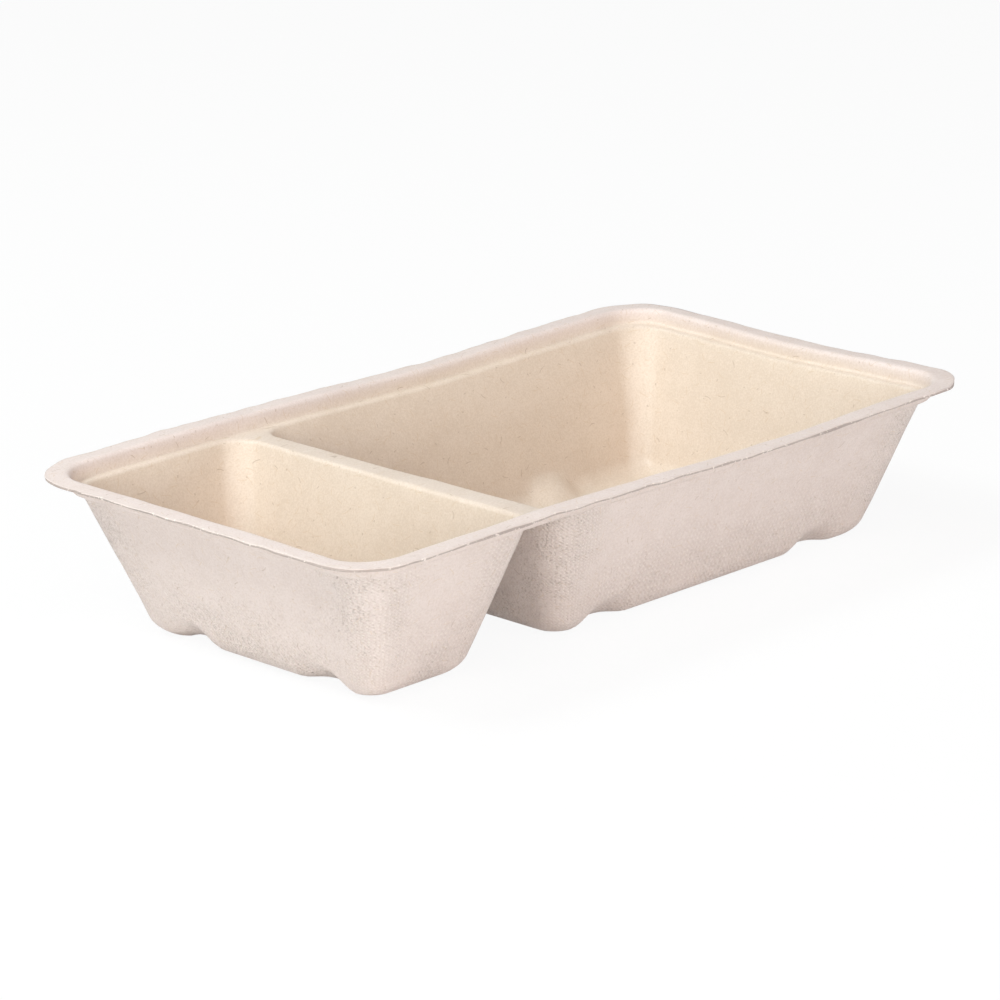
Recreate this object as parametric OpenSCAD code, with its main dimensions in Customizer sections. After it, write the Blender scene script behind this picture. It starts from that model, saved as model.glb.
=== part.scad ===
// Two-compartment snack tray pressed from plant fibre: one thin shell with a flat rim, a lid ledge
// inside it, two drafted cups, a hollow divider between the cups and denesting notches low in the
// outer walls. Millimetres, origin at the bottom centre, +X towards the large cup, +Z up.

/* [Tray] */
// Length over the rim
tray_l = 220; // [205:1:250]
// Width over the rim
tray_w = 122; // [108:1:140]
// Height from the ground to the rim
tray_h = 41.6; // [34:0.1:46]
// Thickness of the pressed fibre
wall = 0.8; // [0.6:0.05:0.95]

/* [Rim and ledge] */
// Width of the flat rim
rim_w = 5.6; // [4.5:0.1:7]
// Corner radius of the rim edge in plan
rim_r = 15.6; // [13:0.1:18]
// Fall of the rim from its inner to its outer edge
rim_fall = 0.2; // [0:0.05:0.5]
// Bend radius from the rim into the wall
rim_bend = 1.5; // [1.2:0.1:1.8]
// Depth of the lid ledge below the rim
ledge_drop = 4; // [3.2:0.1:5]
// Width of the lid ledge
ledge_w = 2.15; // [2.1:0.05:3]
// Bend radius where the ledge meets the short wall above it
ledge_bend = 0.9; // [0.6:0.1:0.9]
// Lean of the short wall above the ledge, degrees
band_lean = 10; // [5:0.5:16]

/* [Cups] */
// Lean of the outer walls, degrees
wall_lean = 20; // [16:0.1:21.5]
// Lean of the divider walls, degrees
divider_lean = 17.8; // [14:0.1:20]
// Place of the divider along the length
divider_x = -41.6; // [-46:0.1:-34]
// Width of the divider top
divider_w = 7; // [6:0.1:8.5]
// Plan radius of the outer corners at the mouth
mouth_r = 9.3; // [8:0.1:11]
// Plan radius of the outer corners at the floor
foot_r = 5; // [4.2:0.1:6.5]
// Plan radius of the divider corners at the mouth
divider_mouth_r = 7.6; // [6.5:0.1:9]
// Plan radius of the divider corners at the floor
divider_foot_r = 5.2; // [4.5:0.1:7]
// Bend radius from the ledge into the wall
edge_bend = 1.5; // [1.2:0.1:1.6]
// Bend radius from the wall into the floor
floor_bend = 6.6; // [5.2:0.1:7]

/* [Notches] */
// Depth of a notch at its deepest
notch_depth = 2.9; // [2:0.1:3.8]
// Reach of a notch up the wall and in under the floor
notch_reach = 7.4; // [6:0.1:8.2]
// Half the width of a notch
notch_half = 10; // [7:0.1:11]
// Notches of the small cup's end wall, from the ends of its straight part
end_notch_in = 10.8; // [8:0.1:16]
// Notch of the large cup's front wall by the divider, from that end of its straight part
front_notch_near = 11.8; // [9:0.1:22]
// Notch of the large cup's front wall by the far end, from that end of its straight part
front_notch_far = 14.8; // [9:0.1:22]
// Notches of the large cup's back wall, from the ends of its straight part
back_notch_in = 29; // [24:0.1:36]
// Notches of the large cup's end wall, from the ends of its straight part
far_notch_in = 22; // [16:0.1:24]

/* [Hidden] */

// Facets in each bend of the wall section
rim_steps = 3;
ledge_steps = 3;
edge_steps = 4;
floor_steps = 7;
// Facets in a full and in half a plan corner, and points on the divider's straight top
corner_steps = 8;
half_steps = 4;
top_steps = 3;
// Points across a notch, from edge to edge
notch_steps = 8;

fibre = [0.91, 0.87, 0.82];
ledge_z = tray_h - ledge_drop;
band_in = rim_w + ledge_drop*tan(band_lean);
mouth_in = band_in + ledge_w;
foot_in = mouth_in + (ledge_z - wall)*tan(wall_lean);
divider_foot = divider_w/2 + (ledge_z - wall)*tan(divider_lean);
// The floor's arc, and how far a notch reaches past it on the wall and on the floor
floor_arc = floor_bend*(90 - wall_lean)*PI/180;
past_arc = notch_reach - floor_arc/2;
// Share of the room beside a notch that it may take
clear_share = 0.97;
// Least plan radius of the floor's inner rings
least_r = foot_r/8;

// Wall section as corner points on the food side: distance in from the rim edge, height
outer_line = [[0, tray_h - rim_fall], [rim_w, tray_h], [band_in, ledge_z], [mouth_in, ledge_z],
              [foot_in, wall], [2*foot_in, wall]];
// The same for a divider wall, from the divider's centre line
divider_line = [[0, ledge_z], [divider_w/2, ledge_z], [divider_foot, wall],
                [2*divider_foot, wall]];

function unit(v) = v/norm(v);
function turned(v) = [-v[1], v[0]];
function spin(v, a) = [v[0]*cos(a) - v[1]*sin(a), v[0]*sin(a) + v[1]*cos(a)];
function between(a, b, f) = a + (b - a)*f;

// A section line moved by t to the under side
function under(line, t) =
    [for (i = [0:len(line) - 1])
        let (last = len(line) - 1,
             n1 = turned(unit(line[max(i, 1)] - line[max(i, 1) - 1])),
             n2 = turned(unit(line[min(i, last - 1) + 1] - line[min(i, last - 1)])))
        line[i] - t*(n1 + n2)/(1 + n1*n2)];

// Arc of radius r that rounds corner b of the line a, b, c
function bend(a, b, c, r, n) =
    let (u = unit(b - a), v = unit(c - b), turn = acos(u*v),
         s = sign(u[0]*v[1] - u[1]*v[0]),
         start = b - u*r*tan(turn/2), centre = start + turned(u)*s*r)
    [for (i = [0:n]) centre + spin(start - centre, s*turn*i/n)];

// Side 0 is the food side, side 1 the under side
function outer_of(s) = s == 0 ? outer_line : under(outer_line, wall);
function divider_of(s) = s == 0 ? divider_line : under(divider_line, wall);
// Bends that close round the food side open on the under side, and the other way about
function hollow(r, s) = r + s*wall;
function raised(r, s) = r - s*wall;

function ledge_end(s) =
    let (q = outer_of(s)) bend(q[1], q[2], q[3], hollow(ledge_bend, s), ledge_steps);
function edge_of(s) =
    let (q = outer_of(s)) bend(q[2], q[3], q[4], raised(edge_bend, s), edge_steps);
function ledge_mid(s) = between(ledge_end(s)[ledge_steps], edge_of(s)[0], 0.5);

// Section from the rim edge to the middle of the ledge
function rim_section(s) =
    let (q = outer_of(s))
    concat([q[0]], bend(q[0], q[1], q[2], raised(rim_bend, s), rim_steps), ledge_end(s),
           [ledge_mid(s)]);

// Section from the ledge, or the divider's centre line, over the edge and down to the floor
function cup_section(first, a, b, c, d, s) =
    let (edge = bend(a, b, c, raised(edge_bend, s), edge_steps),
         foot = bend(b, c, d, hollow(floor_bend, s), floor_steps),
         up = unit(b - c))
    concat([first], edge, [foot[0] + up*past_arc, foot[0] + up*past_arc/2], foot,
           [foot[floor_steps] + [past_arc/2, 0], foot[floor_steps] + [past_arc, 0]]);

function outer_section(s) =
    let (q = outer_of(s)) cup_section(ledge_mid(s), q[2], q[3], q[4], q[5], s);
function divider_section(s) =
    let (q = divider_of(s)) cup_section(q[0], q[0], q[1], q[2], q[3], s);

rim_sections = [rim_section(0), rim_section(1)];
outer_sections = [outer_section(0), outer_section(1)];
divider_sections = [divider_section(0), divider_section(1)];
rim_rings = len(rim_sections[0]);
cup_rings = len(outer_sections[0]);
// Rings down to the edge bend's end are plain, the rest carry the notches
plain_rings = edge_steps + 2;

// How far each ring is pushed in at the middle of a notch
function along(k) =
    k < plain_rings ? -notch_reach
    : k == plain_rings ? -notch_reach
    : k == plain_rings + 1 ? -(notch_reach + floor_arc/2)/2
    : k <= plain_rings + 2 + floor_steps ? floor_arc*((k - plain_rings - 2)/floor_steps - 0.5)
    : k == plain_rings + 3 + floor_steps ? (notch_reach + floor_arc/2)/2
    : notch_reach;
notch_way = unit([1 - sin(wall_lean), cos(wall_lean)]);
function push(k) = notch_way*notch_depth*pow(1 - pow(along(k)/notch_reach, 2), 2);

// Plan corner radius on the rim's rings, by distance in from the edge
function rim_radius(i, s) =
    rim_r - (rim_r - mouth_r)*rim_sections[0][i][0]/mouth_in
    + rim_sections[0][i][0] - rim_sections[s][i][0];
// Share of the way from the ledge to the floor, and the radii that go with it
function down(k) = (ledge_z - outer_sections[0][k][1])/(ledge_z - wall);
function floor_in(k) = max(0, outer_sections[0][k][0] - outer_sections[0][cup_rings - 3][0]);
function before_mouth(k) = max(0, mouth_in - outer_sections[0][k][0]);
function outer_radius(k, s) =
    max(least_r, between(mouth_r, foot_r, down(k)) - floor_in(k))
    + (rim_r - mouth_r)*before_mouth(k)/mouth_in
    + outer_sections[0][k][0] - outer_sections[s][k][0];
function divider_radius(k, s) =
    max(least_r, between(divider_mouth_r, divider_foot_r, down(k)) - floor_in(k))
    + divider_sections[0][k][0] - divider_sections[s][k][0];

// Each cup is drawn in its own frame: u away from the divider, v across. Cup 0 is the small one.
reach = [divider_x + tray_l/2, tray_l/2 - divider_x];
function placed(c, p) =
    c == 0 ? [divider_x - p[0], -p[1], p[2]] : [divider_x + p[0], p[1], p[2]];

// Straight part of each wall at the floor: its middle and its half length; sides 0 front, 1 end, 2 back
long_from = divider_foot + divider_foot_r;
function side_half(c, side) =
    side == 1 ? tray_w/2 - foot_in - foot_r : (reach[c] - foot_in - foot_r - long_from)/2;
function side_mid(c, side) = side == 1 ? 0 : long_from + side_half(c, side);
function notched_wall(c, side) = c == 1 || side == 1;
// Each notched wall has two, one to each way from its middle
function notch_in(c, side, way) =
    c == 0 ? end_notch_in
    : side == 0 && way < 0 ? front_notch_near
    : side == 0 ? front_notch_far
    : side == 1 ? far_notch_in
    : back_notch_in;
function notch_off(c, side, way) = side_half(c, side) - notch_in(c, side, way);
// Half width of a notch, held clear of the corner and of the wall's middle
function notch_wide(c, side, way) =
    min(notch_half, clear_share*notch_off(c, side, way), clear_share*notch_in(c, side, way));
// Places along a wall where a notch needs points, as shares of its straight part
function marks(c, side) =
    !notched_wall(c, side) ? []
    : [for (way = [-1, 1]) for (i = [0:notch_steps])
        let (at = way*notch_off(c, side, way) + notch_wide(c, side, way)*(2*i/notch_steps - 1))
        0.5 + at/(2*side_half(c, side))];
// Strength of the notches at place x along a wall
function strength(c, side, x) =
    !notched_wall(c, side) ? 0
    : let (from_mid = x - side_mid(c, side), way = from_mid < 0 ? -1 : 1,
           off = abs(abs(from_mid) - notch_off(c, side, way))/notch_wide(c, side, way))
      pow(1 - min(1, off)*min(1, off), 2);

// Quarter or half of a plan corner
function corner(cx, cy, r, a0, a1, n, z0, z1) =
    [for (i = [0:n])
        let (a = between(a0, a1, i/n)) [cx + r*cos(a), cy + r*sin(a), between(z0, z1, i/n)]];
function inner_points(list) = [for (i = [1:len(list) - 1]) list[i]];

// Straight wall from p to q with notch points; inward is the way into the cup
function notched(c, side, k, p, q, inward, fine) =
    [for (f = fine ? marks(c, side) : [])
        let (at = between(p, q, f), w = strength(c, side, side == 1 ? at[1] : at[0]))
        at + inward*push(k)[0]*w + [0, 0, push(k)[1]*w]];

// One ring of a cup in its own frame, from the divider's front end round by the end wall
function cup_ring(c, s, k, fine) =
    let (o = outer_sections[s][k], d = divider_sections[s][k],
         ro = outer_radius(k, s), rd = divider_radius(k, s),
         u0 = d[0], u1 = reach[c] - o[0], v1 = tray_w/2 - o[0], v0 = -v1,
         zo = o[1], zm = (o[1] + d[1])/2, zd = d[1])
    concat(
        corner(u0 + rd, v0 + rd, rd, 225, 270, half_steps, zm, zo),
        notched(c, 0, k, [u0 + rd, v0, zo], [u1 - ro, v0, zo], [0, 1, 0], fine),
        corner(u1 - ro, v0 + ro, ro, 270, 360, corner_steps, zo, zo),
        notched(c, 1, k, [u1, v0 + ro, zo], [u1, v1 - ro, zo], [-1, 0, 0], fine),
        corner(u1 - ro, v1 - ro, ro, 0, 90, corner_steps, zo, zo),
        // this wall is walked from the end back to the divider
        notched(c, 2, k, [u1 - ro, v1, zo], [u0 + rd, v1, zo], [0, -1, 0], fine),
        corner(u0 + rd, v1 - rd, rd, 90, 135, half_steps, zo, zm),
        inner_points(corner(u0 + rd, v1 - rd, rd, 135, 180, half_steps, zm, zd)),
        [for (i = [1:top_steps])
            between([u0, v1 - rd, zd], [u0, v0 + rd, zd], i/(top_steps + 1))],
        [for (i = [0:half_steps - 1])
            corner(u0 + rd, v0 + rd, rd, 180, 225, half_steps, zd, zm)[i]]);

// Where the mouth corners leave the straight lines of the first plain ring
function start_u(s) = divider_sections[s][1][0] + divider_radius(1, s);
function start_v(s) = tray_w/2 - outer_sections[s][1][0] - divider_radius(1, s);

// Half a ring of the rim round one cup, from the divider line to the divider line
function rim_half(c, s, i) =
    let (o = rim_sections[s][i], r = rim_radius(i, s), u1 = reach[c] - o[0], v1 = tray_w/2 - o[0])
    concat(
        [for (j = [0:half_steps]) [start_u(s)*j/half_steps, -v1, o[1]]],
        corner(u1 - r, -v1 + r, r, 270, 360, corner_steps, o[1], o[1]),
        corner(u1 - r, v1 - r, r, 0, 90, corner_steps, o[1], o[1]),
        [for (j = [half_steps:-1:1]) [start_u(s)*j/half_steps, v1, o[1]]]);
function rim_ring(s, i) =
    concat([for (p = rim_half(1, s, i)) placed(1, p)], [for (p = rim_half(0, s, i)) placed(0, p)]);

// Points on the divider's centre line, from the back to the front
function top_points(s) =
    let (end = tray_w/2 - ledge_mid(s)[0], v = start_v(s), z = divider_sections[s][0][1])
    concat(
        [for (i = [1:half_steps]) [divider_x, between(end, v, i/half_steps), z]],
        [for (i = [1:top_steps]) [divider_x, v*(1 - 2*i/(top_steps + 1)), z]],
        [for (i = [half_steps:-1:1]) [divider_x, -between(end, v, i/half_steps), z]]);

// Counts of points
half_count = 2*half_steps + 1 + 2*(corner_steps + 1);
rim_count = 2*half_count;
top_count = 2*half_steps + top_steps;
plain_count = half_count + 1 + top_count;
function mark_count(c, side) = len(marks(c, side));
function fine_count(c) = plain_count + mark_count(c, 0) + mark_count(c, 1) + mark_count(c, 2);
fine_rings = cup_rings - plain_rings;
function cup_count(c) = (plain_rings - 1)*plain_count + fine_rings*fine_count(c);
side_count = rim_rings*rim_count + top_count + cup_count(0) + cup_count(1);

function side_points(s) =
    concat(
        [for (i = [0:rim_rings - 1]) each rim_ring(s, i)],
        top_points(s),
        [for (c = [0, 1]) for (k = [1:cup_rings - 1])
            each [for (p = cup_ring(c, s, k, k >= plain_rings)) placed(c, p)]]);

// Point numbers of a rim ring and of a cup ring
function rim_ids(s, i) = [for (j = [0:rim_count - 1]) s*side_count + i*rim_count + j];
function cup_ids(c, s, k) =
    let (rim = rim_ids(s, rim_rings - 1), top = s*side_count + rim_rings*rim_count,
         cup = top + top_count + (c == 0 ? 0 : cup_count(0)))
    k == 0
    ? concat([for (j = [0:half_count - 1]) rim[(c == 1 ? 0 : half_count) + j]],
             [rim[c == 1 ? half_count : 0]],
             [for (j = [0:top_count - 1]) top + (c == 1 ? j : top_count - 1 - j)])
    : k < plain_rings
    ? [for (j = [0:plain_count - 1]) cup + (k - 1)*plain_count + j]
    : [for (j = [0:fine_count(c) - 1])
        cup + (plain_rings - 1)*plain_count + (k - plain_rings)*fine_count(c) + j];
// Number on a notched ring of point j of a plain ring
function fine_place(c, j) =
    j + (j > half_steps ? mark_count(c, 0) : 0)
    + (j > half_steps + corner_steps + 1 ? mark_count(c, 1) : 0)
    + (j > half_steps + 2*(corner_steps + 1) ? mark_count(c, 2) : 0);

// Triangles between two rings; s turns them to face out of the shell
function faced(t, s) = s == 0 ? [t[0], t[2], t[1]] : t;
function strip(a, b, s) =
    [for (j = [0:len(a) - 1])
        let (n = (j + 1)%len(a))
        each [faced([a[j], a[n], b[n]], s), faced([a[j], b[n], b[j]], s)]];
// The same where ring b has more points than ring a
function stitch(a, b, c, s) =
    [for (j = [0:len(a) - 1])
        let (n = (j + 1)%len(a), from = fine_place(c, j),
             to = n == 0 ? len(b) : fine_place(c, n))
        each concat([faced([a[j], a[n], b[to%len(b)]], s)],
                    [for (i = [from:to - 1]) faced([a[j], b[(i + 1)%len(b)], b[i]], s)])];
// Flat floor, fanned from a corner so that no three points of a triangle lie in line
function cap(ids, c, s) =
    let (n = len(ids), first = fine_place(c, half_steps + 1 + corner_steps/2))
    [for (j = [1:n - 2])
        faced([ids[first], ids[(first + j)%n], ids[(first + j + 1)%n]], s)];

function side_faces(s) =
    concat(
        [for (i = [0:rim_rings - 2]) each strip(rim_ids(s, i), rim_ids(s, i + 1), s)],
        [for (c = [0, 1]) each concat(
            [for (k = [0:plain_rings - 2]) each strip(cup_ids(c, s, k), cup_ids(c, s, k + 1), s)],
            stitch(cup_ids(c, s, plain_rings - 1), cup_ids(c, s, plain_rings), c, s),
            [for (k = [plain_rings:cup_rings - 2])
                each strip(cup_ids(c, s, k), cup_ids(c, s, k + 1), s)],
            cap(cup_ids(c, s, cup_rings - 1), c, s))]);

// The whole pressed shell: food side, under side and the cut edge of the rim between them
module tray() {
    color(fibre)
        polyhedron(
            points = concat(side_points(0), side_points(1)),
            faces = concat(side_faces(0), side_faces(1), strip(rim_ids(0, 0), rim_ids(1, 0), 1)),
            convexity = 8);
}

tray();
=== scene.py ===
"""Looks of the two-compartment bagasse snack tray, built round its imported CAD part."""
import math

import bpy
import numpy as np
from mathutils import Matrix, Vector


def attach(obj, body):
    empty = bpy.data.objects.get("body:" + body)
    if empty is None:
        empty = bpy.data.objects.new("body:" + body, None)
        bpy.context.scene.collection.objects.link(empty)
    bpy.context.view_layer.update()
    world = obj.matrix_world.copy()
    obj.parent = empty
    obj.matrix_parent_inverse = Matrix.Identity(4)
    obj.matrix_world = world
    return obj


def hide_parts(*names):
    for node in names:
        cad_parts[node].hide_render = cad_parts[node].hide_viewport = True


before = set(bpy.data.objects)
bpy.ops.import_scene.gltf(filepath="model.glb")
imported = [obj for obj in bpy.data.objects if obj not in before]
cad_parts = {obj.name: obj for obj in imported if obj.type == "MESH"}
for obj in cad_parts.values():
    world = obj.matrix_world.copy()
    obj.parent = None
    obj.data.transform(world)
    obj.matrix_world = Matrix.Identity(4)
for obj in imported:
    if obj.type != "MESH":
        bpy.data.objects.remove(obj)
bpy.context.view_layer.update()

# Sizes of the tray, in millimetres and degrees, as the CAD part has them
MM = 0.001
TRAY_L, TRAY_W, TRAY_H = 220.0, 122.0, 41.6
WALL = 0.8
RIM_W, RIM_R, RIM_FALL, RIM_BEND = 5.6, 15.6, 0.2, 1.5
LEDGE_DROP, LEDGE_W, LEDGE_BEND, BAND_LEAN = 4.0, 2.15, 0.9, 10.0
WALL_LEAN, DIVIDER_LEAN = 20.0, 17.8
DIVIDER_X, DIVIDER_W = -41.6, 7.0
MOUTH_R, FOOT_R = 9.3, 5.0
DIVIDER_MOUTH_R, DIVIDER_FOOT_R = 7.6, 5.2
EDGE_BEND, FLOOR_BEND = 1.5, 6.6
NOTCH_DEPTH, NOTCH_REACH, NOTCH_HALF = 2.9, 7.4, 10.0
END_NOTCH_IN, FRONT_NOTCH_NEAR, FRONT_NOTCH_FAR = 10.8, 11.8, 14.8
BACK_NOTCH_IN, FAR_NOTCH_IN = 29.0, 22.0
CLEAR_SHARE = 0.97

# Mesh density: points in each bend, on each flat of the section and along each wall
CUT_STEPS, RIM_FLAT, RIM_STEPS, BAND_FLAT, LEDGE_STEPS = 3, 4, 5, 3, 4
EDGE_STEPS, WALL_FLAT, PAST_FLAT, FLOOR_STEPS = 6, 18, 4, 12
CORNER_STEPS, END_POINTS = 16, 36
HALF_STEPS = CORNER_STEPS//2
LONG_POINTS = (16, 56)
# Radius that eases the cut edge of the rim, and width of the edge's colour band, which on the under side
# is partly painted shade under the rim
CUT_R, EDGE_REACH = 0.26, 1.1

# How deep the wire mesh of the mould shows: on flats, low down, at corners, on the rim, inside
FLAT_IMPRINT, LOW_IMPRINT, CORNER_IMPRINT, RIM_IMPRINT, FOOD_IMPRINT = 0.18, 1.5, 1.1, 0.15, 0.0
# Height up to which the low print reaches, fall-off from a corner in points, loss at a corner's foot
IMPRINT_TOP, CORNER_FADE, CORNER_LOSS = 24.0, 4.0, 0.35
# Wandering of the wires: size and wavelength; patches of the print: mean, swing, limits, wavelength
WIRE_DRIFT, WIRE_DRIFT_WAVE = 0.15, 8.0
PATCH_MEAN, PATCH_SWING, PATCH_LEAST, PATCH_MOST, PATCH_WAVE = 0.95, 0.2, 0.6, 1.2, 12.0

# Warp of the rim: wall, middle of the swell or sag along it, half width, height
RIM_WARP = (("back", -62, 42, 0.5), ("back", 26, 30, -1.0), ("back", 92, 20, 0.2),
            ("front", -52, 40, 0.72), ("front", 32, 30, -0.68), ("front", 90, 20, 0.2),
            ("left", -8, 30, 0.15), ("right", 0, 24, -0.85), ("right", 50, 18, 0.3),
            ("right", -52, 16, 0.25))
# Height where the warp begins, how slowly it grows, and how softly one wall's warp meets the next
WARP_FROM, WARP_POWER, WARP_SOFT = 10.0, 1.5, 0.5
# Unevenness of the pressed walls and of the cut edge: height and wavelength
BOW, BOW_WAVE = 0.14, 46.0
PUCKER, PUCKER_WAVE = 0.035, 13.0
EDGE_WANDER, EDGE_WAVE = 0.13, 9.0
# Share of the bow that moves points up, and of the edge's wander
BOW_UP, EDGE_UP = 0.3, 0.6
# Random unevenness is a sum of this many waves with wave numbers in this range, and one seed a kind
WAVES, WAVE_LEAST, WAVE_MOST = 16, 0.7, 1.4
BOW_SEED, PUCKER_SEED, EDGE_OUT_SEED, EDGE_UP_SEED, PATCH_SEED = 3, 5, 7, 11, 13
DRIFT_SEEDS = (17, 19)
TINY = 1e-6

# Sizes that follow from those
LEDGE_Z = TRAY_H - LEDGE_DROP
BAND_IN = RIM_W + LEDGE_DROP*math.tan(math.radians(BAND_LEAN))
MOUTH_IN = BAND_IN + LEDGE_W
FOOT_IN = MOUTH_IN + (LEDGE_Z - WALL)*math.tan(math.radians(WALL_LEAN))
DIVIDER_FOOT = DIVIDER_W/2 + (LEDGE_Z - WALL)*math.tan(math.radians(DIVIDER_LEAN))
FLOOR_ARC = FLOOR_BEND*math.radians(90 - WALL_LEAN)
PAST_ARC = NOTCH_REACH - FLOOR_ARC/2
LEAST_R = FOOT_R/8
REACH = (DIVIDER_X + TRAY_L/2, TRAY_L/2 - DIVIDER_X)
LONG_FROM = DIVIDER_FOOT + DIVIDER_FOOT_R
# Names of the sides of the shell and of a cup's walls; cup 0 is the small one, cup 1 the large one
FOOD, UNDER = 0, 1
FRONT, END, BACK = 0, 1, 2


def unit(v):
    return v/np.linalg.norm(v)


def turned(v):
    """A section vector turned left by a quarter."""
    return np.array([-v[1], v[0]])


def spin(v, angle):
    c, s = math.cos(angle), math.sin(angle)
    return np.array([v[0]*c - v[1]*s, v[0]*s + v[1]*c])


def under_line(line, t):
    """A section line moved by t to the under side, with mitred corners."""
    last = len(line) - 1
    moved = []
    for i in range(last + 1):
        before, after = max(i, 1), min(i, last - 1)
        n1 = turned(unit(line[before] - line[before - 1]))
        n2 = turned(unit(line[after + 1] - line[after]))
        moved.append(line[i] - t*(n1 + n2)/(1 + n1 @ n2))
    return moved


def bend(a, b, c, r, n):
    """Arc of radius r that rounds corner b of the line a, b, c."""
    u, v = unit(b - a), unit(c - b)
    turn = math.acos(float(np.clip(u @ v, -1, 1)))
    way = math.copysign(1, u[0]*v[1] - u[1]*v[0])
    start = b - u*r*math.tan(turn/2)
    centre = start + turned(u)*way*r
    return [centre + spin(start - centre, way*turn*i/n) for i in range(n + 1)]


def inside(a, b, n):
    """n points strictly between a and b, evenly apart."""
    return [a + (b - a)*(i + 1)/(n + 1) for i in range(n)]


def section_lines(side):
    """Corner points of the outer wall's section and of the divider's: distance in, height."""
    outer = [(0, TRAY_H - RIM_FALL), (RIM_W, TRAY_H), (BAND_IN, LEDGE_Z), (MOUTH_IN, LEDGE_Z),
             (FOOT_IN, WALL), (2*FOOT_IN, WALL)]
    divider = [(0, LEDGE_Z), (DIVIDER_W/2, LEDGE_Z), (DIVIDER_FOOT, WALL), (2*DIVIDER_FOOT, WALL)]
    outer = [np.array(p, float) for p in outer]
    divider = [np.array(p, float) for p in divider]
    if side == UNDER:
        outer, divider = under_line(outer, WALL), under_line(divider, WALL)
    return outer, divider


def cup_section(first, a, b, c, d, side):
    """Section from the ledge, or the divider's middle, over the edge and down to the floor."""
    edge = bend(a, b, c, EDGE_BEND - side*WALL, EDGE_STEPS)
    foot = bend(b, c, d, FLOOR_BEND + side*WALL, FLOOR_STEPS)
    high = foot[0] + unit(b - c)*PAST_ARC
    low = foot[-1] + np.array([PAST_ARC, 0])
    return np.array(
        [first] + edge + inside(edge[-1], high, WALL_FLAT) + [high]
        + inside(high, foot[0], PAST_FLAT) + foot + inside(foot[-1], low, PAST_FLAT) + [low])


def sections(side):
    """Dense rim, outer wall and divider sections of one side."""
    q, d = section_lines(side)
    rim = bend(q[0], q[1], q[2], RIM_BEND - side*WALL, RIM_STEPS)
    ledge = bend(q[1], q[2], q[3], LEDGE_BEND + side*WALL, LEDGE_STEPS)
    edge = bend(q[2], q[3], q[4], EDGE_BEND - side*WALL, EDGE_STEPS)
    middle = (ledge[-1] + edge[0])/2
    # the cut edge of the rim is eased on both sides
    inward = unit(q[1] - q[0])
    across = turned(inward)*(1 if side == UNDER else -1)
    start = q[0] + inward*CUT_R
    centre = start + across*CUT_R
    cut = []
    for i in range(CUT_STEPS):
        a = math.pi/2*i/CUT_STEPS
        cut.append(centre - inward*CUT_R*math.cos(a) - across*CUT_R*math.sin(a))
    rim_line = (cut + [start] + inside(start, rim[0], RIM_FLAT) + rim
                + inside(rim[-1], ledge[0], BAND_FLAT) + ledge + [middle])
    outer = cup_section(middle, q[2], q[3], q[4], q[5], side)
    divider = cup_section(d[0], d[0], d[1], d[2], d[3], side)
    return np.array(rim_line), outer, divider


SECTIONS = [sections(FOOD), sections(UNDER)]
RIM_RINGS = len(SECTIONS[FOOD][0])
CUP_RINGS = len(SECTIONS[FOOD][1])
# Number of the cup ring where the floor's arc ends
ARC_END = CUP_RINGS - 2 - PAST_FLAT


def rim_radius(side, i):
    """Plan radius of the corners on ring i of the rim."""
    plain = SECTIONS[FOOD][0][i][0]
    return RIM_R - (RIM_R - MOUTH_R)*plain/MOUTH_IN + plain - SECTIONS[side][0][i][0]


def cup_radii(side, k):
    """Plan radii of the outer and the divider corners on ring k."""
    food_outer, food_divider = SECTIONS[FOOD][1][k], SECTIONS[FOOD][2][k]
    down = (LEDGE_Z - food_outer[1])/(LEDGE_Z - WALL)
    floor_in = max(0.0, food_outer[0] - SECTIONS[FOOD][1][ARC_END][0])
    before = max(0.0, MOUTH_IN - food_outer[0])
    outer = max(LEAST_R, MOUTH_R + (FOOT_R - MOUTH_R)*down - floor_in)
    outer += (RIM_R - MOUTH_R)*before/MOUTH_IN + food_outer[0] - SECTIONS[side][1][k][0]
    inner = DIVIDER_MOUTH_R + (DIVIDER_FOOT_R - DIVIDER_MOUTH_R)*down - floor_in
    inner = max(LEAST_R, inner) + food_divider[0] - SECTIONS[side][2][k][0]
    return outer, inner


def along_bend(k):
    """Distance of ring k from the middle of the floor's arc, along the section."""
    high = 1 + EDGE_STEPS + 1 + WALL_FLAT
    arc0 = high + 1 + PAST_FLAT
    arc1 = arc0 + FLOOR_STEPS
    if k <= high:
        return -NOTCH_REACH
    if k < arc0:
        return -NOTCH_REACH + PAST_ARC*(k - high)/(PAST_FLAT + 1)
    if k <= arc1:
        return FLOOR_ARC*((k - arc0)/FLOOR_STEPS - 0.5)
    return FLOOR_ARC/2 + PAST_ARC*(k - arc1)/(PAST_FLAT + 1)


# Notches are pushed in along the line that halves the angle of floor and wall
LEAN = math.radians(WALL_LEAN)
NOTCH_WAY = unit(np.array([1 - math.sin(LEAN), math.cos(LEAN)]))


def notch_push(k):
    """How far in and up ring k moves in the middle of a notch."""
    return NOTCH_WAY*NOTCH_DEPTH*(1 - (along_bend(k)/NOTCH_REACH)**2)**2


def side_half(cup, wall_side):
    """Half the straight length of a wall at its foot."""
    if wall_side == END:
        return TRAY_W/2 - FOOT_IN - FOOT_R
    return (REACH[cup] - FOOT_IN - FOOT_R - LONG_FROM)/2


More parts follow.
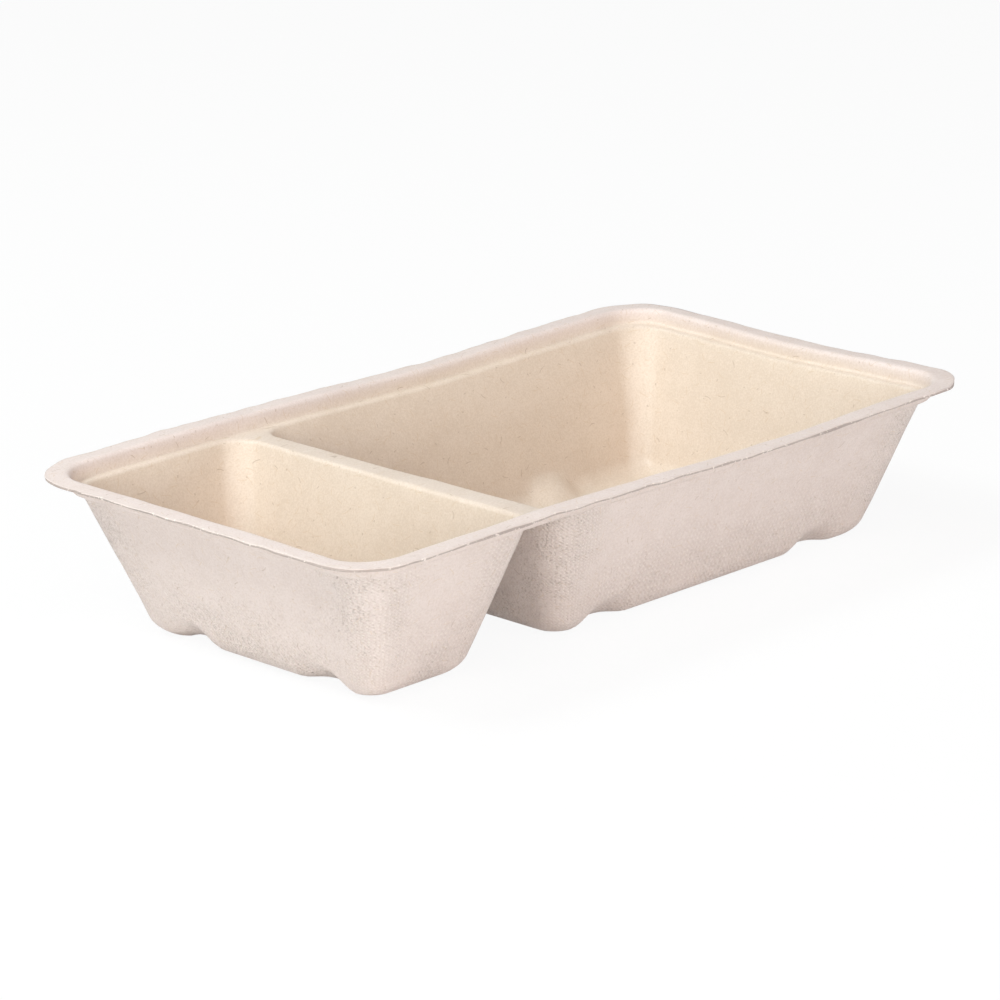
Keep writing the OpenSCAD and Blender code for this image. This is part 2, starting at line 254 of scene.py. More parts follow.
def notch_strength(cup, wall_side, place):
    """How strong the notches are at these places along a wall, from 0 to 1."""
    if cup == 0 and wall_side != END:
        return np.zeros_like(place)
    near = {FRONT: FRONT_NOTCH_NEAR, END: FAR_NOTCH_IN, BACK: BACK_NOTCH_IN}[wall_side]
    far = {FRONT: FRONT_NOTCH_FAR, END: FAR_NOTCH_IN, BACK: BACK_NOTCH_IN}[wall_side]
    if cup == 0:
        near = far = END_NOTCH_IN
    half = side_half(cup, wall_side)
    middle = 0 if wall_side == END else LONG_FROM + half
    notch_in = np.where(place < middle, near, far)
    off = half - notch_in
    wide = np.minimum(NOTCH_HALF, CLEAR_SHARE*np.minimum(off, notch_in))
    away = np.minimum(1, np.abs(np.abs(place - middle) - off)/wide)
    return (1 - away**2)**2


def arc(cx, cy, r, a0, a1, n, z0, z1):
    """Points of a plan arc from angle a0 to a1, rising from z0 to z1."""
    f = np.linspace(0, 1, n + 1)
    a = np.radians(a0 + (a1 - a0)*f)
    return np.column_stack([cx + r*np.cos(a), cy + r*np.sin(a), z0 + (z1 - z0)*f])


def straight(p, q, n):
    """n points strictly between p and q."""
    f = (np.arange(n) + 1)[:, None]/(n + 1)
    return np.array(p)[None] + (np.array(q) - np.array(p))[None]*f


def notched(cup, wall_side, k, p, q, inward, n):
    """Straight wall from p to q with its notches pushed in and up."""
    line = straight(p, q, n)
    w = notch_strength(cup, wall_side, line[:, 1] if wall_side == END else line[:, 0])[:, None]
    push = notch_push(k)
    return line + (np.array(inward)*push[0] + np.array([0, 0, push[1]]))*w


def cup_ring(cup, side, k):
    """One ring of a cup in its own frame: u away from the divider, v across."""
    o, d = SECTIONS[side][1][k], SECTIONS[side][2][k]
    ro, rd = cup_radii(side, k)
    u0, u1, v1 = d[0], REACH[cup] - o[0], TRAY_W/2 - o[0]
    zo, zd = o[1], d[1]
    zm = (zo + zd)/2
    n = LONG_POINTS[cup]
    return np.vstack([
        arc(u0 + rd, -v1 + rd, rd, 225, 270, HALF_STEPS, zm, zo),
        notched(cup, FRONT, k, [u0 + rd, -v1, zo], [u1 - ro, -v1, zo], [0, 1, 0], n),
        arc(u1 - ro, -v1 + ro, ro, 270, 360, CORNER_STEPS, zo, zo),
        notched(cup, END, k, [u1, -v1 + ro, zo], [u1, v1 - ro, zo], [-1, 0, 0], END_POINTS),
        arc(u1 - ro, v1 - ro, ro, 0, 90, CORNER_STEPS, zo, zo),
        notched(cup, BACK, k, [u1 - ro, v1, zo], [u0 + rd, v1, zo], [0, -1, 0], n),
        arc(u0 + rd, v1 - rd, rd, 90, 135, HALF_STEPS, zo, zm),
        arc(u0 + rd, v1 - rd, rd, 135, 180, HALF_STEPS, zm, zd)[1:],
        straight([u0, v1 - rd, zd], [u0, -v1 + rd, zd], END_POINTS),
        arc(u0 + rd, -v1 + rd, rd, 180, 225, HALF_STEPS, zd, zm)[:-1]])


def mouth_start(side):
    """Where the mouth's divider corners leave the straight lines: along and across."""
    rd = cup_radii(side, 1)[1]
    return SECTIONS[side][2][1][0] + rd, TRAY_W/2 - SECTIONS[side][1][1][0] - rd


def rim_half(cup, side, i):
    """Half a ring of the rim round one cup, from the divider line to the divider line."""
    o, r = SECTIONS[side][0][i], rim_radius(side, i)
    u1, v1, z = REACH[cup] - o[0], TRAY_W/2 - o[0], o[1]
    start = mouth_start(side)[0]*np.arange(HALF_STEPS + 1)/HALF_STEPS
    front = np.column_stack([start, np.full_like(start, -v1), np.full_like(start, z)])
    back = front[:0:-1]*[1, -1, 1]
    n = LONG_POINTS[cup]
    return np.vstack([
        front,
        straight([start[-1], -v1, z], [u1 - r, -v1, z], n),
        arc(u1 - r, -v1 + r, r, 270, 360, CORNER_STEPS, z, z),
        straight([u1, -v1 + r, z], [u1, v1 - r, z], END_POINTS),
        arc(u1 - r, v1 - r, r, 0, 90, CORNER_STEPS, z, z),
        straight([u1 - r, v1, z], [start[-1], v1, z], n),
        back])


def placed(cup, points):
    """Points of a cup's own frame in the tray's frame."""
    if cup == 0:
        return points*[-1, -1, 1] + [DIVIDER_X, 0, 0]
    return points + [DIVIDER_X, 0, 0]


def top_points(side):
    """Points on the divider's middle line, from the back to the front."""
    end = TRAY_W/2 - SECTIONS[side][1][0][0]
    start = mouth_start(side)[1]
    y = [end + (start - end)*i/HALF_STEPS for i in range(1, HALF_STEPS + 1)]
    y += [start*(1 - 2*i/(END_POINTS + 1)) for i in range(1, END_POINTS + 1)]
    y += [-v for v in y[HALF_STEPS - 1::-1]]
    z = SECTIONS[side][2][0][1]
    return np.array([[DIVIDER_X, v, z] for v in y])


class Shell:
    """Points, faces and surface coordinates of the tray as they are put together."""

    def __init__(self):
        self.points, self.faces, self.coords, self.sides = [], [], [], []
        self.imprint, self.corner, self.edge, self.on_food = [], [], [], []
        self.count = 0

    def add(self, points, side, imprint, edge=0.0, corner=0.0):
        """New points, with the depths of the mesh's print on flats and corners and a cut edge share."""
        ids = np.arange(self.count, self.count + len(points))
        self.points.append(np.asarray(points, float))
        self.imprint.append(np.broadcast_to(imprint, len(points)))
        self.corner.append(np.broadcast_to(corner, len(points)))
        self.edge.append(np.full(len(points), edge))
        self.on_food.append(np.full(len(points), side == FOOD))
        self.count += len(points)
        return ids

    def strip(self, a, b, s, ta, tb, side):
        """Quads between two closed rings; s runs along them and t down the section."""
        n = len(a)
        for j in range(n):
            m = (j + 1) % n
            quad = [a[j], a[m], b[m], b[j]]
            coords = [(s[j], ta), (s[j + 1], ta), (s[j + 1], tb), (s[j], tb)]
            self.face(quad, coords, side)

    def face(self, quad, coords, side):
        """One face, turned so that it looks out of the wall."""
        if side == FOOD:
            quad, coords = quad[::-1], coords[::-1]
        self.faces.append([int(i) for i in quad])
        self.coords.append(coords)
        self.sides.append(side)


def ring_length(points):
    """Distance along a closed ring at each point, with the whole length last."""
    gaps = np.linalg.norm(np.roll(points, -1, axis=0) - points, axis=1)
    return np.concatenate([[0], np.cumsum(gaps)])


def section_length(line):
    """Distance along a section at each of its points."""
    return np.concatenate([[0], np.cumsum(np.linalg.norm(np.diff(line, axis=0), axis=1))])


def corner_weight(cup):
    """1 at the points of a ring that lie on a plan corner, falling off along the walls."""
    n, on_arc = LONG_POINTS[cup], []
    for count, is_arc in ((HALF_STEPS + 1, 1), (n, 0), (CORNER_STEPS + 1, 1), (END_POINTS, 0),
                          (CORNER_STEPS + 1, 1), (n, 0), (2*HALF_STEPS + 1, 1), (END_POINTS, 0),
                          (HALF_STEPS, 1)):
        on_arc += [is_arc]*count
    on_arc = np.array(on_arc)
    places = np.arange(len(on_arc))
    arcs = places[on_arc == 1]
    gap = np.abs(places[:, None] - arcs[None])
    gap = np.minimum(gap, len(places) - gap).min(1)
    return np.exp(-(gap/CORNER_FADE)**2)


def ring_imprint(cup, side, points):
    """How deep the mesh shows on a ring's flats, most of all low down, and at its corners."""
    if side == FOOD:
        return FOOD_IMPRINT, FOOD_IMPRINT
    low = np.clip(1 - points[:, 2]/IMPRINT_TOP, 0, 1)
    at_corner = corner_weight(cup)
    flat = (FLAT_IMPRINT + LOW_IMPRINT*low)*(1 - at_corner)
    return flat, CORNER_IMPRINT*(1 - CORNER_LOSS*low)*at_corner


def floor_grid(shell, ring, points, cup, side):
    """Fills the flat floor inside a cup's last ring with a grid of quads."""
    n = len(ring)
    long_side = 2*HALF_STEPS + LONG_POINTS[cup] + 1
    short_side = 2*HALF_STEPS + END_POINTS + 1
    depth = FOOD_IMPRINT if side == FOOD else FLAT_IMPRINT + LOW_IMPRINT
    start = {"front": 0, "end": long_side, "back": long_side + short_side,
             "divider": 2*long_side + short_side}
    front = [ring[(start["front"] + i) % n] for i in range(long_side + 1)]
    end = [ring[(start["end"] + i) % n] for i in range(short_side + 1)]
    back = [ring[(start["back"] + i) % n] for i in range(long_side + 1)][::-1]
    divider = [ring[(start["divider"] + i) % n] for i in range(short_side + 1)][::-1]
    place = dict(zip(ring, points))
    grid = np.zeros((long_side + 1, short_side + 1), int)
    at = np.zeros((long_side + 1, short_side + 1, 3))
    for i in range(long_side + 1):
        for j in range(short_side + 1):
            f, g = i/long_side, j/short_side
            if j == 0 or j == short_side:
                grid[i, j] = (front if j == 0 else back)[i]
            elif i == 0 or i == long_side:
                grid[i, j] = (divider if i == 0 else end)[j]
            else:
                p = ((1 - g)*place[front[i]] + g*place[back[i]]
                     + (1 - f)*place[divider[j]] + f*place[end[j]]
                     - (1 - f)*(1 - g)*place[front[0]] - f*(1 - g)*place[front[-1]]
                     - (1 - f)*g*place[back[0]] - f*g*place[back[-1]])
                grid[i, j] = shell.add([p], side, depth)[0]
                at[i, j] = p
                continue
            at[i, j] = place[grid[i, j]]
    for i in range(long_side):
        for j in range(short_side):
            cells = [(i, j), (i + 1, j), (i + 1, j + 1), (i, j + 1)]
            shell.face([grid[c] for c in cells], [tuple(at[c][:2]) for c in cells], side)


def tray_shell():
    """The whole tray: both sides, the floors and the cut edge of the rim."""
    shell = Shell()
    edges = []
    for side in (FOOD, UNDER):
        rim_ids, rim_points = [], []
        for i in range(RIM_RINGS):
            halves = [placed(c, rim_half(c, side, i)) for c in (1, 0)]
            points = np.vstack(halves)
            rim_points.append(points)
            share = max(0.0, 1 - SECTIONS[side][0][i][0]/EDGE_REACH)
            rim_ids.append(shell.add(points, side, (FOOD_IMPRINT, RIM_IMPRINT)[side], share))
        half = len(halves[0])
        edges.append(rim_ids[0])
        s = ring_length(rim_points[RIM_RINGS//2])
        t = section_length(SECTIONS[side][0])
        for i in range(RIM_RINGS - 1):
            shell.strip(rim_ids[i], rim_ids[i + 1], s, t[i], t[i + 1], side)
        top = top_points(side)
        top_ids = shell.add(top, side, (FOOD_IMPRINT, FLAT_IMPRINT)[side])
        last = rim_ids[-1]
        for cup in (0, 1):
            own = last[:half] if cup == 1 else last[half:]
            other = last[half] if cup == 1 else last[0]
            line = top_ids if cup == 1 else top_ids[::-1]
            ids = [np.concatenate([own, [other], line])]
            rings = [cup_ring(cup, side, k) for k in range(1, CUP_RINGS)]
            world = [placed(cup, ring) for ring in rings]
            for ring in world:
                flat, corner = ring_imprint(cup, side, ring)
                ids.append(shell.add(ring, side, flat, corner=corner))
            s = ring_length(world[CUP_RINGS//2])
            t = section_length(SECTIONS[side][1]) + section_length(SECTIONS[side][0])[-1]
            for k in range(CUP_RINGS - 1):
                shell.strip(ids[k], ids[k + 1], s, t[k], t[k + 1], side)
            floor_grid(shell, ids[-1], world[-1], cup, side)
    # the middle of the cut edge joins the two sides
    s = ring_length(np.vstack([placed(c, rim_half(c, FOOD, 0)) for c in (1, 0)]))
    shell.strip(edges[0], edges[1], s, 0.0, WALL - 2*CUT_R, UNDER)
    return shell


def ripple(points, wave, seed):
    """Smooth random heights of about unit size at these points."""
    draw = np.random.default_rng(seed)
    ways = draw.normal(size=(WAVES, 3))
    ways /= np.linalg.norm(ways, axis=1)[:, None]
    turns = 2*math.pi/wave*draw.uniform(WAVE_LEAST, WAVE_MOST, WAVES)
    phase = draw.uniform(0, 2*math.pi, WAVES)
    return np.cos(points @ (ways*turns[:, None]).T + phase).sum(1)*math.sqrt(2/WAVES)


def rim_warp(points):
    """Rise of the rim and the walls under it where the tray has warped."""
    x, y, z = points.T
    walls = {"back": (TRAY_W/2 - y, x), "front": (TRAY_W/2 + y, x),
             "left": (TRAY_L/2 + x, y), "right": (TRAY_L/2 - x, y)}
    total, weights = np.zeros(len(points)), np.zeros(len(points))
    for name, (away, along) in walls.items():
        rise = np.zeros(len(points))
        for wall_name, middle, half, height in RIM_WARP:
            if wall_name == name:
                rise += height*np.exp(-((along - middle)/half)**2)
        weight = 1/(np.maximum(away, 0) + WARP_SOFT)**2
        total += rise*weight
        weights += weight
    up = np.clip((z - WARP_FROM)/(TRAY_H - WARP_FROM), 0, 1)**WARP_POWER
    return total/weights*up


def uneven(points, normals, edge):
    """The tray as it came out of the mould: warped, a little bowed and with a wandering edge."""
    high = np.clip(points[:, 2]/WARP_FROM, 0, 1)
    bow = BOW*high*ripple(points, BOW_WAVE, BOW_SEED)
    pucker = PUCKER*high*ripple(points, PUCKER_WAVE, PUCKER_SEED)
    moved = points + normals*bow[:, None]*[1, 1, BOW_UP]
    moved += normals*pucker[:, None]
    out = points*[1/TRAY_L, 1/TRAY_W, 0]
    out /= np.maximum(np.linalg.norm(out, axis=1), TINY)[:, None]
    wander = EDGE_WANDER*edge
    moved += out*(wander*(ripple(points, EDGE_WAVE, EDGE_OUT_SEED) - 1))[:, None]
    moved[:, 2] += rim_warp(points) + EDGE_UP*wander*ripple(points, EDGE_WAVE, EDGE_UP_SEED)
    return moved


# Wire mesh: period along and down the walls, and at the corners; height of the print
WEAVE, CORNER_WEAVE, WIRE_DEPTH = (1.36, 1.58), (1.04, 1.0), 0.055
# Wires that run down and along the wall, beside the knuckles where they cross; lag of the first
DOWN_WIRES, ALONG_WIRES, WIRE_LAG = 0.45, 0.3, 0.8
# Unevenness of the wires, least and most of the print, height that counts as full
WIRE_JITTER, WIRE_LEAST, WIRE_MOST, WIRE_FULL = 7.0, 0.2, 1.9, 1.4
# Shares of the painted shade in the print's hollows and of the painted highlight on its knuckles
PAINTED_HOLLOW_SHADE_SHARE, PAINTED_KNUCKLE_HIGHLIGHT_SHARE = 0.34, 0.46
# Noises: size in millimetres, detail, roughness; and the range that most of their values keep to
GRAIN, PEEL = (0.5, 2.0, 0.6), (2.6, 1.0, 0.5)
MOTTLE, CLOUD = (6.0, 3.0, 0.6), (30.0, 1.0, 0.5)
FLECKS, FLECKS_FROM, FLECKS_TO = (1.1, 2.0, 0.7), 0.56, 0.72
NOISE_LOW, NOISE_HIGH = 0.3, 0.7
GRAIN_HEIGHT, PEEL_HEIGHT = 0.045, 0.05
# Shares of the noises in the shade of the pulp, and where it turns from light to dark
MOTTLE_SHARE, CLOUD_SHARE, GRAIN_SHARE = 0.5, 0.3, 1.4
SHADE_FROM, SHADE_TO = 0.8, 1.4
# Colours of the pulp, each light and dark: mould side; food side, whose cream is painted warm bounce light
# in the cups; and rim, whose lighter, rosier colour is painted cool top light and grazing sheen
ROSY, ROSY_DARK = (0.750, 0.650, 0.608, 1), (0.678, 0.574, 0.528, 1)
CREAM_PAINTED_BOUNCE, CREAM_PAINTED_BOUNCE_DARK = (0.765, 0.655, 0.55, 1), (0.690, 0.577, 0.470, 1)
RIM_PAINTED_TOP_LIGHT, RIM_PAINTED_TOP_LIGHT_DARK = (0.805, 0.705, 0.665, 1), (0.735, 0.630, 0.585, 1)
BROWN = (0.36, 0.24, 0.15, 1)
STRAW = (0.62, 0.46, 0.30, 1)
# pale fibres and specks, and also the painted highlight on the print's knuckles
PALE_FLECK_AND_HIGHLIGHT = (0.92, 0.84, 0.78, 1)
# painted shade in the print's hollows
PAINTED_HOLLOW_SHADE = (0.60, 0.49, 0.43, 1)
# Upper and lower half of the rim's cut edge, and their share in the colour there; the dark lower half is
# partly a darker trimmed edge and partly painted shade under the rim
CUT_TOP, CUT_LOW_AND_PAINTED_SHADE = (0.67, 0.58, 0.54, 1), (0.36, 0.29, 0.26, 1)
CUT_SHARE = 0.8
# Heights between which the food side turns from the cups' painted bounce light to the rim's painted top
# light, and from glossy to dull
CREAM_BELOW, CREAM_TO = 36.5, 41.5
GLOSS_BELOW, GLOSS_TO = 33.0, 37.0
# Less and more roughness with the mottling, and what the rim has more
GLOSSIER, DULLER, RIM_DULL = 0.06, 0.08, 0.2
# Fibres: cell, half length, half width, share of the cells, bow, strength, colour, fewer on the mould side
FIBRES = ((2.9, 1.0, 0.14, 0.5, 0.2, 0.16, PALE_FLECK_AND_HIGHLIGHT, False),
          (1.7, 0.8, 0.09, 0.8, 0.25, 0.3, STRAW, False),
          (3.9, 1.5, 0.13, 0.7, 0.12, 0.42, STRAW, True),
          (7.6, 1.3, 0.16, 0.5, 0.2, 0.42, BROWN, True),
          (5.0, 0.36, 0.24, 0.35, 0.0, 0.36, BROWN, True))
# Of a fibre's half length, the shortest one and its fading tip; of its half width, the full core
SHORTEST, TIP, CORE = 0.45, 0.3, 0.35


class Shader:
    """Short calls that build a material: each makes a node, feeds its inputs and gives an output."""

    def __init__(self, name):
        self.material = bpy.data.materials.new(name)
        self.material.use_nodes = True
        self.tree = self.material.node_tree
        self.surface = self.tree.nodes["Principled BSDF"]

    def feed(self, socket, value):
        if isinstance(value, bpy.types.NodeSocket):
            self.tree.links.new(value, socket)
        else:
            socket.default_value = value

    def node(self, kind, values, **settings):
        made = self.tree.nodes.new("ShaderNode" + kind)
        for name, value in settings.items():
            setattr(made, name, value)
        for key, value in values.items():
            self.feed(made.inputs[key], value)
        return made

    def math(self, operation, *values):
        return self.node("Math", dict(enumerate(values)), operation=operation).outputs[0]

    def vector(self, operation, *values):
        return self.node("VectorMath", dict(enumerate(values)), operation=operation).outputs[0]

    def noise(self, where, size, detail, roughness):
        """Noise of about this grain size in millimetres, from 0 to 1."""
        values = {"Vector": where, "Scale": 1/size, "Detail": detail, "Roughness": roughness}
        return self.node("TexNoise", values).outputs["Fac"]

    def ramp(self, value, low, high, start=0.0, end=1.0):
        """Smooth step from start to end as the value goes from low to high."""
        values = {"Value": value, "From Min": low, "From Max": high, "To Min": start, "To Max": end}
        return self.node("MapRange", values, interpolation_type="SMOOTHSTEP").outputs["Result"]

    def mix(self, share, a, b):
        """Colour a with this share of colour b; 6 and 7 are the node's colour inputs, 2 its output."""
        return self.node("Mix", {0: share, 6: a, 7: b}, data_type="RGBA").outputs[2]

    def attribute(self, name):
        return self.node("Attribute", {}, attribute_name=name).outputs["Fac"]

    def strokes(self, where, cell, half_length, half_width, share, bow):
        """Scattered short fibres, one to a cell at most, each turned and bowed its own way."""
        cells = self.node("TexVoronoi", {"Vector": where, "Scale": 1/cell}, voronoi_dimensions="2D")
        chance = self.node("SeparateColor", {"Color": cells.outputs["Color"]})
        offset = self.vector("SUBTRACT", where, cells.outputs["Position"])
        angle = self.math("MULTIPLY", chance.outputs[0], 2*math.pi)
        local = self.node("VectorRotate", {"Vector": offset, "Angle": angle}, rotation_type="Z_AXIS")
        axes = self.node("SeparateXYZ", {"Vector": local.outputs[0]})
        curve = self.math("MULTIPLY", self.math("MULTIPLY", axes.outputs[0], axes.outputs[0]), bow)
        across = self.math("ABSOLUTE", self.math("ADD", axes.outputs[1], curve))
        along = self.math("ABSOLUTE", axes.outputs[0])
        reach = self.ramp(chance.outputs[2], 0.0, 1.0, SHORTEST*half_length, half_length)
        thin = self.ramp(across, CORE*half_width, half_width, 1.0, 0.0)
        short = self.ramp(self.math("SUBTRACT", along, reach), -TIP*half_length, 0.0, 1.0, 0.0)
        there = self.math("LESS_THAN", chance.outputs[1], share)
        return self.math("MULTIPLY", self.math("MULTIPLY", thin, short), there)

    def weave(self, surface, period, jitter):
        """Height of the wire mesh's print, about -1.7 to 1.7, with a period along and down the wall."""
        place = self.node("SeparateXYZ", {"Vector": surface})
        along = self.math("MULTIPLY_ADD", place.outputs[0], 2*math.pi/period[0], jitter)
        down = self.math("MULTIPLY_ADD", place.outputs[1], 2*math.pi/period[1], jitter)
        knuckle = self.math("MULTIPLY", self.math("COSINE", along), self.math("COSINE", down))
        lagging = self.math("COSINE", self.math("ADD", along, WIRE_LAG))
        down_wires = self.math("MULTIPLY", lagging, DOWN_WIRES)
        along_wires = self.math("MULTIPLY", self.math("COSINE", down), ALONG_WIRES)
        return self.math("ADD", knuckle, self.math("ADD", down_wires, along_wires))


def pulp(name, light, dark, roughness, imprinted, grain_share, fibre_share):
    """Moulded bagasse pulp: mottled, with fibres and specks, and with the mesh's print if any, whose
    hollows carry painted shade and knuckles painted highlight; without the print, the rim gets painted top
    light.
    """
    m = Shader(name)
    space = m.vector("SCALE", m.node("TexCoord", {}).outputs["Object"])
    space.node.inputs["Scale"].default_value = 1/MM
    surface = m.node("UVMap", {}, uv_map="surface_mm").outputs[0]
    grain = m.noise(space, *GRAIN)
    peel = m.noise(space, *PEEL)
    mottle = m.noise(space, *MOTTLE)
    cloud = m.noise(space, *CLOUD)
    shade = m.math("MULTIPLY", mottle, MOTTLE_SHARE)
    shade = m.math("ADD", shade, m.math("MULTIPLY", cloud, CLOUD_SHARE))
    shade = m.math("ADD", shade, m.math("MULTIPLY", grain, GRAIN_SHARE))
    shade = m.ramp(shade, SHADE_FROM, SHADE_TO)
    colour = m.mix(shade, light, dark)
    roughness = m.ramp(mottle, NOISE_LOW, NOISE_HIGH, roughness - GLOSSIER, roughness + DULLER)
    if not imprinted:
        # the rim is rosier and duller than the cups: its lighter, rosier colour is painted cool top light
        # and grazing sheen, and the cups' cream is painted warm bounce light
        tall = m.node("SeparateXYZ", {"Vector": space}).outputs[2]
        high = m.ramp(tall, CREAM_BELOW, CREAM_TO)
        colour = m.mix(high, colour, m.mix(shade, RIM_PAINTED_TOP_LIGHT, RIM_PAINTED_TOP_LIGHT_DARK))
        roughness = m.math("ADD", roughness, m.ramp(tall, GLOSS_BELOW, GLOSS_TO, 0.0, RIM_DULL))
    for cell, half_length, half_width, share, bow, strength, tint, fewer in FIBRES:
        if fewer:
            share *= fibre_share
        there = m.strokes(surface, cell, half_length, half_width, share, bow)
        colour = m.mix(m.math("MULTIPLY", there, strength), colour, tint)
    height = m.math("MULTIPLY", grain, GRAIN_HEIGHT*grain_share)
    height = m.math("ADD", height, m.math("MULTIPLY", peel, PEEL_HEIGHT*grain_share))
    if imprinted:
        jitter = m.math("MULTIPLY", m.math("ADD", grain, peel), WIRE_JITTER)
        wires = m.math("MULTIPLY", m.weave(surface, WEAVE, jitter), m.attribute("imprint"))
        tight = m.math("MULTIPLY", m.weave(surface, CORNER_WEAVE, jitter), m.attribute("corner"))
        wires = m.math("ADD", wires, tight)
        # the pulp fills some meshes and leaves others faint
        wires = m.math("MULTIPLY", wires, m.ramp(grain, NOISE_LOW, NOISE_HIGH, WIRE_LEAST, WIRE_MOST))
        height = m.math("ADD", height, m.math("MULTIPLY", wires, WIRE_DEPTH))
        # painted shade darkens the print's hollows and painted highlight lightens its knuckles, on top of
        # the bump
        colour = m.mix(m.ramp(wires, 0.0, -WIRE_FULL, 0.0, PAINTED_HOLLOW_SHADE_SHARE), colour, PAINTED_HOLLOW_SHADE)
        colour = m.mix(m.ramp(wires, 0.0, WIRE_FULL, 0.0, PAINTED_KNUCKLE_HIGHLIGHT_SHARE), colour, PALE_FLECK_AND_HIGHLIGHT)
    edge = m.attribute("edge")
    flecks = m.ramp(m.noise(space, *FLECKS), FLECKS_FROM, FLECKS_TO)
    # the under side's dark edge is partly a darker trimmed edge and partly painted shade under the rim
    cut = CUT_LOW_AND_PAINTED_SHADE if imprinted else CUT_TOP
    colour = m.mix(m.math("MULTIPLY", edge, CUT_SHARE), colour, m.mix(flecks, cut, PALE_FLECK_AND_HIGHLIGHT))
    m.feed(m.surface.inputs["Base Color"], colour)
    m.feed(m.surface.inputs["Roughness"], roughness)
    bump = m.node("Bump", {"Strength": 1.0, "Distance": MM, "Height": height})
    m.feed(m.surface.inputs["Normal"], bump.outputs[0])
    return m.material


# The tray's mesh, with its coordinates and attributes
shell = tray_shell()
points = np.vstack(shell.points)
mesh = bpy.data.meshes.new("tray_shell")
mesh.from_pydata(points.tolist(), [], shell.faces)
normals = np.zeros(len(points)*3)
mesh.vertices.foreach_get("normal", normals)
# both sides move alike, so that the wall keeps its thickness
normals = normals.reshape(-1, 3)*np.where(np.concatenate(shell.on_food), 1, -1)[:, None]
points = uneven(points, normals, np.concatenate(shell.edge))
mesh.vertices.foreach_set("co", (points*MM).ravel())
mesh.update()
uv = mesh.uv_layers.new(name="surface_mm")
# the wires wander a little, and print deeper in some patches than in others
corners = np.concatenate(shell.faces)
drift = np.column_stack([ripple(points, WIRE_DRIFT_WAVE, seed) for seed in DRIFT_SEEDS])*WIRE_DRIFT
coords = np.array([c for f in shell.coords for c in f]) + drift[corners]
uv.data.foreach_set("uv", coords.astype(np.float32).ravel())
patches = PATCH_MEAN + PATCH_SWING*ripple(points, PATCH_WAVE, PATCH_SEED)
patches = np.clip(patches, PATCH_LEAST, PATCH_MOST)
mesh.polygons.foreach_set("use_smooth", [True]*len(mesh.polygons))
mesh.polygons.foreach_set("material_index", shell.sides)
for name, values in (("imprint", np.concatenate(shell.imprint)*patches),
                     ("corner", np.concatenate(shell.corner)*patches),
                     ("edge", np.concatenate(shell.edge))):
    layer = mesh.attributes.new(name, "FLOAT", "POINT")
    layer.data.foreach_set("value", values.astype(np.float32))
tray = bpy.data.objects.new("tray_shell", mesh)
bpy.context.scene.collection.objects.link(tray)
# the food side's cream colours are painted warm bounce light in the cups
mesh.materials.append(pulp("pulp_food_side", CREAM_PAINTED_BOUNCE, CREAM_PAINTED_BOUNCE_DARK, roughness=0.38, imprinted=False,
                           grain_share=0.7, fibre_share=1.0))
mesh.materials.append(pulp("pulp_mould_side", ROSY, ROSY_DARK, roughness=0.62, imprinted=True,
                           grain_share=1.0, fibre_share=0.7))
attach(tray, "root")
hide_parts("tray")

# Floor and light
WHITE = (1, 1, 1, 1)
AMBIENT = 0.07
FLOOR_PALE, FLOOR_WHITE = 0.95, 0.92
HALF_FLOOR, FLOOR_DROP = 6.0, 0.0001
# Lamps: azimuth from +X and height in degrees, distance and size in metres, power, colour
LAMPS = {"key": (156, 53, 1.4, 0.4, 10.3, (0.91, 1.0, 1.0)),
         "top": (120, 55, 1.4, 0.4, 3.4, (0.97, 1.0, 1.0)),
         "sheen": (180, 21, 1.4, 0.4, 2.3, (0.9, 0.97, 1.0)),
         "fill": (-117, 42, 1.4, 2.0, 16.4, (1.0, 0.92, 0.905)),
         "low_left": (-130, 12, 1.0, 0.2, 1.7, (0.96, 1.0, 0.93)),
         "low_front": (-60, 6, 1.0, 0.2, 1.6, (0.88, 0.96, 1.0))}
floor_mesh = bpy.data.meshes.new("floor")
floor_mesh.from_pydata([(-HALF_FLOOR, -HALF_FLOOR, 0), (HALF_FLOOR, -HALF_FLOOR, 0),
                        (HALF_FLOOR, HALF_FLOOR, 0), (-HALF_FLOOR, HALF_FLOOR, 0)], [], [(0, 1, 2, 3)])
floor = bpy.data.objects.new("floor", floor_mesh)
floor.location.z = -FLOOR_DROP
bpy.context.scene.collection.objects.link(floor)


def seen_share(tree, share, unseen):
    """Gives share to what the camera sees, also by gloss or through glass, and unseen to the rest."""
    path = tree.nodes.new("ShaderNodeLightPath")
    seen = path.outputs["Is Camera Ray"]
    for name in ("Is Glossy Ray", "Is Transmission Ray"):
        either = tree.nodes.new("ShaderNodeMath")
        either.operation = "MAXIMUM"
        tree.links.new(seen, either.inputs[0])
        tree.links.new(path.outputs[name], either.inputs[1])
        seen = either.outputs[0]
    scale = tree.nodes.new("ShaderNodeMapRange")
    scale.inputs["To Min"].default_value = unseen
    scale.inputs["To Max"].default_value = share
    tree.links.new(seen, scale.inputs["Value"])
    return scale.outputs["Result"]


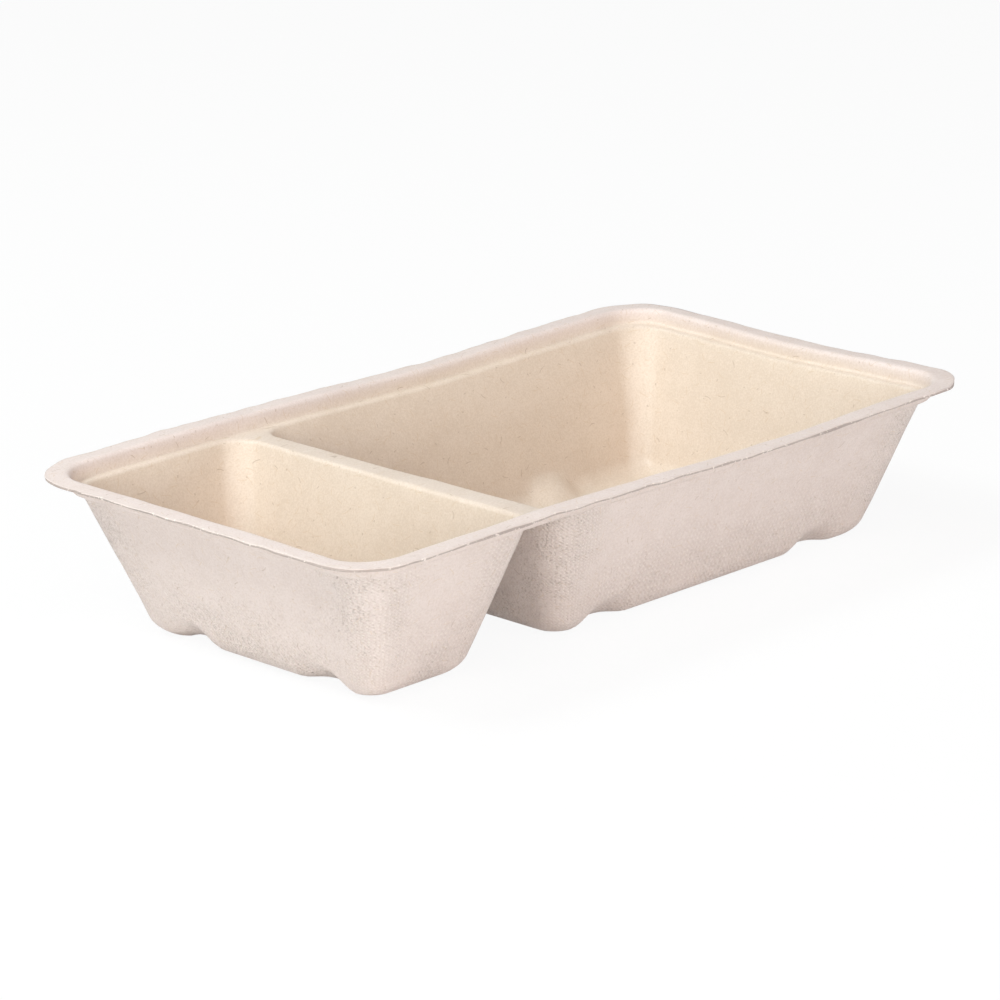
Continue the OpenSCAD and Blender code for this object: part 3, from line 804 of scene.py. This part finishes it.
floor_material = bpy.data.materials.new("floor")
floor_material.use_nodes = True
tree = floor_material.node_tree
floor_shader = tree.nodes["Principled BSDF"]
floor_shader.inputs["Base Color"].default_value = (FLOOR_PALE, FLOOR_PALE, FLOOR_PALE, 1)
floor_shader.inputs["Roughness"].default_value = 1.0
floor_shader.inputs["Specular IOR Level"].default_value = 0.0
sheet = tree.nodes.new("ShaderNodeEmission")
blend = tree.nodes.new("ShaderNodeMixShader")
tree.links.new(seen_share(tree, FLOOR_WHITE, 0.0), blend.inputs["Fac"])
tree.links.new(floor_shader.outputs[0], blend.inputs[1])
tree.links.new(sheet.outputs[0], blend.inputs[2])
tree.links.new(blend.outputs[0], tree.nodes["Material Output"].inputs["Surface"])
floor_mesh.materials.append(floor_material)

world = bpy.data.worlds.new("studio")
world.use_nodes = True
bpy.context.scene.world = world
tree = world.node_tree
back = tree.nodes["Background"]
back.inputs["Color"].default_value = WHITE
tree.links.new(seen_share(tree, 1.0, AMBIENT), back.inputs["Strength"])


def area_lamp(name, azimuth, tall, distance, size, power, colour):
    """Square lamp aimed at the tray from a direction given by two angles."""
    az, el = math.radians(azimuth), math.radians(tall)
    place = Vector((math.cos(az)*math.cos(el), math.sin(az)*math.cos(el), math.sin(el)))*distance
    aim = Vector((0, 0, TRAY_H*MM/2))
    lamp = bpy.data.lights.new(name, "AREA")
    lamp.shape = "SQUARE"
    lamp.size = size
    lamp.energy = power
    lamp.color = colour
    obj = bpy.data.objects.new(name, lamp)
    obj.location = place
    obj.rotation_euler = (aim - place).to_track_quat("-Z", "Y").to_euler()
    bpy.context.scene.collection.objects.link(obj)


for name, lamp in LAMPS.items():
    area_lamp(name, *lamp)

# Camera fitted to the photograph: focal length in picture widths, degrees, millimetres
FOCAL, AZIMUTH, ELEVATION, ROLL = 4.61017, -45.0705, 17.3878, -0.9392
ASIDE, ABOVE, DISTANCE = 3.9591, -20.5466, 1168.70
SENSOR = 36.0
a, e, r = (math.radians(v) for v in (AZIMUTH, ELEVATION, ROLL))
backward = Vector((math.sin(a)*math.cos(e), -math.cos(a)*math.cos(e), math.sin(e)))
right = (-backward).cross(Vector((0, 0, 1))).normalized()
up = right.cross(-backward)
right, up = right*math.cos(r) + up*math.sin(r), up*math.cos(r) - right*math.sin(r)
eye = (backward*DISTANCE - right*ASIDE - up*ABOVE)*MM
lens = bpy.data.cameras.new("camera")
lens.sensor_width = SENSOR
lens.sensor_fit = "AUTO"
lens.lens = SENSOR*FOCAL
camera = bpy.data.objects.new("camera", lens)
camera.matrix_world = Matrix.Translation(eye) @ Matrix((right, up, backward)).transposed().to_4x4()
bpy.context.scene.collection.objects.link(camera)
bpy.context.scene.camera = camera
bpy.context.scene.view_settings.view_transform = "Standard"
